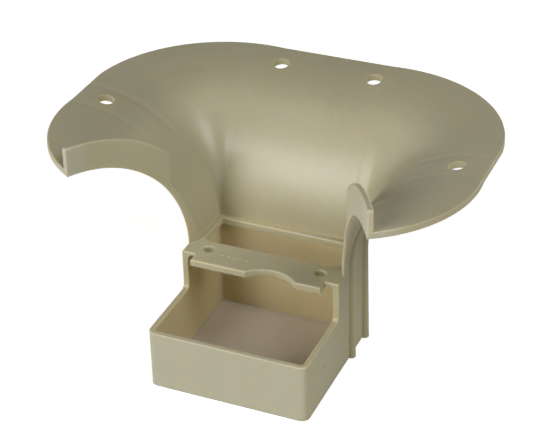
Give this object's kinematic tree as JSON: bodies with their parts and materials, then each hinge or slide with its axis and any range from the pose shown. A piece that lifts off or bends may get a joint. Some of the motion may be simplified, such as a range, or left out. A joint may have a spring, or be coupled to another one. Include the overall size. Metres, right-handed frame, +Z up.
{
  "type": "pole entrance fitting",
  "caption": "One-piece ivory plastic pole entrance fitting: a square sleeve with a notched bridge and a wide flared cable guide, open at the front, with upstands at its front edges.",
  "frame": {"origin": "on the pole's axis, level with the lower rim of the sleeve", "axes": "+Z up along the pole towards the flare, -Y towards the low open front of the sleeve, +X to the right seen from the front, which is the side the notch is offset to"},
  "size_m": [0.1534, 0.1116, 0.0929],
  "materials": {
    "ivory_plastic": "satin as-moulded ivory, with faint flow marks and small specks"
  },
  "bodies": {
    "root": {"entrance_fitting": "ivory_plastic"}
  },
  "joints": []
}
